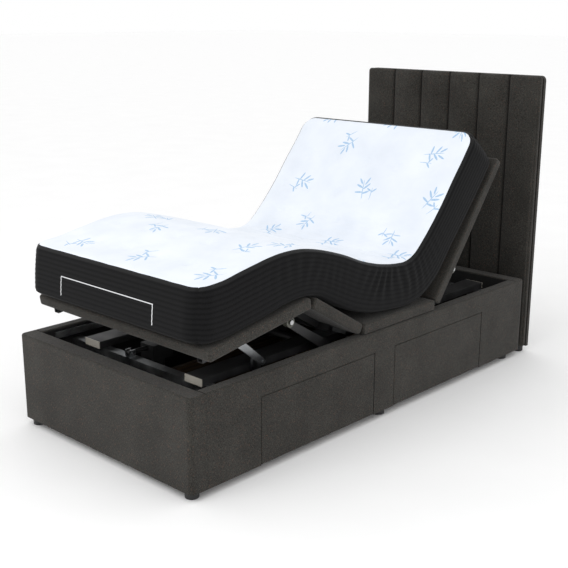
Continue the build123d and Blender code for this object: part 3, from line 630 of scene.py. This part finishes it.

# %% [markdown]
# ## Three pieces, one across each hinge
# The bed folds at three hinges, and a piece of fabric can bend across one. So the mattress is cut
# in the middle of the seat and in the middle of the thigh, where it only follows one panel, and
# each of the three lengths lies across its own hinge. The cut faces meet there.

# %% Cut lines and hinges
SEAT_CUT = (Vector((0, 0.03, 0.5)), Vector((0, 1, 0)))
THIGH_CUT = (Vector((0, -0.338, 0.5)), Vector((0, 0.857, -0.515)))
MATTRESS_LENGTHS = {
    "mattress_back": {
        "keep": [(*SEAT_CUT, 1)],
        "bodies": ("base", "back"),
        "ends": ((0, 0.215, 0.455), (0, 0.32, 0.502)),
        "nodes": ["back_mattress", "seat_mattress"],
    },
    "mattress_thigh": {
        "keep": [(*SEAT_CUT, -1), (*THIGH_CUT, 1)],
        "bodies": ("base", "thigh"),
        "ends": ((0, -0.178, 0.464), (0, -0.2707, 0.4975)),
        "nodes": ["thigh_mattress"],
    },
    "mattress_foot": {
        "keep": [(*THIGH_CUT, -1)],
        "bodies": ("thigh", "foot"),
        "ends": ((0, -0.435, 0.56), (0, -0.55, 0.578)),
        "nodes": ["foot_mattress"],
    },
}


def object_from(bm, name, materials):
    """Makes an object at the origin from a bmesh, smooth shaded, and returns it."""
    for face in bm.faces:
        face.smooth = True
    mesh = bpy.data.meshes.new(name)
    bm.to_mesh(mesh)
    bm.free()
    for material in materials:
        mesh.materials.append(material)
    made = bpy.data.objects.new(name, mesh)
    bpy.context.scene.collection.objects.link(made)
    return made


# %% Make the three lengths
# The tape covers this much of the border and of the top, on either side of the edge.
TAPE_WIDTH = 0.012
whole = mattress_block()
place_layer = whole.verts.layers.float_vector["mattress_place"]
for face in whole.faces:
    flat = sum((vert[place_layer] for vert in face.verts), Vector()) / len(face.verts)
    inset = min(WIDTH / 2 - abs(flat.x), flat.y, LENGTH - flat.y)
    if flat.z > THICK - 1e-5:
        face.material_index = 2 if inset < TAPE_WIDTH else 0
    else:
        face.material_index = 2 if flat.z > THICK - TAPE_WIDTH else 1
for piece_name, cut in MATTRESS_LENGTHS.items():
    part = whole.copy()
    for point, normal, keep in cut["keep"]:
        geometry = part.verts[:] + part.edges[:] + part.faces[:]
        cut_line = bmesh.ops.bisect_plane(
            part, geom=geometry, dist=1e-6, plane_co=point, plane_no=normal * keep,
            clear_inner=True,
        )["geom_cut"]
        rim = [item for item in cut_line if isinstance(item, bmesh.types.BMEdge)]
        caps = bmesh.ops.holes_fill(part, edges=rim, sides=0)["faces"]
        for face in caps:
            face.material_index = 1
        for edge in rim:
            edge.smooth = False
    bmesh.ops.recalc_face_normals(part, faces=part.faces)
    piece = object_from(part, piece_name, COVER)
    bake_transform(piece)
    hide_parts(*cut["nodes"])
    print(piece_name, len(piece.data.polygons), "faces")
whole.free()

# %% [markdown]
# ## The channelled headboard
# Foam about 40 mm thick is stretched over a board and sewn down in five vertical lines, so that
# six equal channels stand proud between them. The pad rounds over at the top and the sides. Rows
# of points across a fine block sink towards each seam, more steeply the nearer they are, as
# stuffed channels do. Along each seam on the front the cloth is also painted darker, as shade.


# %% Headboard pad
CHANNELS = 6
SEAM_DEPTH = 0.019
pad_low, pad_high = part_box("headboard_pad")
pad_size = pad_high - pad_low
bm = fine_block(pad_size, (143, 10, 120))
PAD_ROUND = 0.016
seam_shade_layer = bm.verts.layers.float.new("seam_painted_shade")
for vert in bm.verts:
    flat = vert.co.copy()
    soft = rounded(flat, pad_size, PAD_ROUND, PAD_ROUND)
    front = max(0.0, 1 - flat.y / (pad_size.y * 0.6))
    share = (flat.x / pad_size.x + 0.5) * CHANNELS
    from_seam = abs(share - round(share)) * 2
    outer = round(share) in (0, CHANNELS)
    drop = 0.0 if outer else SEAM_DEPTH * (1 - from_seam**0.35)
    # Painted shade: how far the cloth is darkened at each seam, narrow about the seam line and
    # only on the front.
    vert[seam_shade_layer] = 0.0 if outer else front * max(0.0, 0.85 - from_seam * 8)
    slack = 0.0012 * noise.noise(Vector((flat.x * 9, 1.7, flat.z * 5)))
    soft.y += front * (drop + slack + 0.0015)
    vert.co = soft + Vector((0, pad_low.y, pad_low.z))
bmesh.ops.recalc_face_normals(bm, faces=bm.faces)
pad = object_from(bm, "headboard_channels", [channel_linen])
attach(pad, "base")
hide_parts("headboard_pad")
print("headboard pad", [round(v, 3) for v in pad_size], "m")

# %% [markdown]
# ## The lining inside the box
# The black cloth inside the box is stapled along its edges, so between the staples it stands a
# millimetre or so off the boards in shallow ripples. The CAD lining is a flat sheet in the right
# place: a copy of it is merged, cut finer, and rippled.

# %% Rippled lining
RIPPLE = 0.0009
bm = bmesh.new()
bm.from_mesh(frame["nodes"]["inner_lining"].data)
bmesh.ops.remove_doubles(bm, verts=bm.verts, dist=1e-5)
for _ in range(3):
    long_edges = [edge for edge in bm.edges if edge.calc_length() > 0.12]
    bmesh.ops.subdivide_edges(bm, edges=long_edges, cuts=1)
bmesh.ops.triangulate(bm, faces=bm.faces)
middle = (cad_box[0] + cad_box[1]) / 2
for vert in bm.verts:
    wave = abs(noise.noise(vert.co * 9))
    inward = Vector((-vert.co.x, middle.y - vert.co.y, 0))
    inward = Vector((inward.x, 0, 0)) if abs(inward.x) > 0.4 else Vector((0, inward.y, 0))
    if inward.length > 1e-6:
        vert.co += inward.normalized() * RIPPLE * wave
bmesh.ops.recalc_face_normals(bm, faces=bm.faces)
lining_piece = object_from(bm, "box_lining_cloth", [SLOT_FINISHES["black_lining"]])
for polygon in lining_piece.data.polygons:
    polygon.use_smooth = False
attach(lining_piece, "base")
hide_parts("inner_lining")
print("lining", len(lining_piece.data.polygons), "faces")

# %% [markdown]
# ## Floor, light and camera
# A wide pale floor and soft light from large panels show the dark cloth without hard shadows. The
# main panel hangs high over the foot end on the near side, and a wide one fills from the left.


# %% Floor and background
def studio_floor():
    """A wide pale floor that isn't part of the bed."""
    sheet = bmesh.new()
    bmesh.ops.create_grid(sheet, x_segments=1, y_segments=1, size=60)
    floor = object_from(sheet, "studio_floor", [])
    material, tree, shader = finish_named("floor_pale_matt", 0.9)
    place = add(tree, "TexCoord").node.outputs["Object"]
    mottle = add(tree, "TexNoise", {"Vector": place, "Scale": 3})
    wire(tree, shader, Base_Color=ramp(tree, mottle, [(0.3, "#FCFCFC"), (0.7, "#FEFEFE")]))
    floor.data.materials.append(material)


studio_floor()
scene = bpy.context.scene
world = bpy.data.worlds.new("studio")
scene.world = world
world.use_nodes = True
background = world.node_tree.nodes["Background"]
background.inputs["Color"].default_value = (1, 1, 1, 1)
background.inputs["Strength"].default_value = 1.0
scene.view_settings.view_transform = "Standard"


# %% Lights
def light_panel(name, place, target, size, power):
    """A square area light that faces a target."""
    data = bpy.data.lights.new(name, "AREA")
    data.size = size
    data.energy = power
    lamp = bpy.data.objects.new(name, data)
    lamp.location = place
    lamp.rotation_euler = (Vector(target) - Vector(place)).to_track_quat("-Z", "Y").to_euler()
    scene.collection.objects.link(lamp)


light_panel("key", (0.2, -3.8, 3.0), (0, -0.2, 0.5), 2.2, 38)
light_panel("fill", (3.4, -0.4, 2.6), (0, 0, 0.5), 2.0, 5)

# %% Camera
AZIMUTH, ELEVATION, ROLL = radians(43.3245), radians(15.3150), radians(0.1487)
back = Vector(
    (sin(AZIMUTH) * cos(ELEVATION), -cos(AZIMUTH) * cos(ELEVATION), sin(ELEVATION))
)
level_right = Vector((cos(AZIMUTH), sin(AZIMUTH), 0))
level_up = back.cross(level_right)
right = cos(ROLL) * level_right + sin(ROLL) * level_up
up = -sin(ROLL) * level_right + cos(ROLL) * level_up
camera_data = bpy.data.cameras.new("camera")
camera_data.lens = 63.19
camera_data.sensor_width = 36
camera = bpy.data.objects.new("camera", camera_data)
turn = Matrix((right, up, back)).transposed().to_4x4()
camera.matrix_world = Matrix.Translation((2.7851, -3.0684, 1.5890)) @ turn
scene.collection.objects.link(camera)
scene.camera = camera
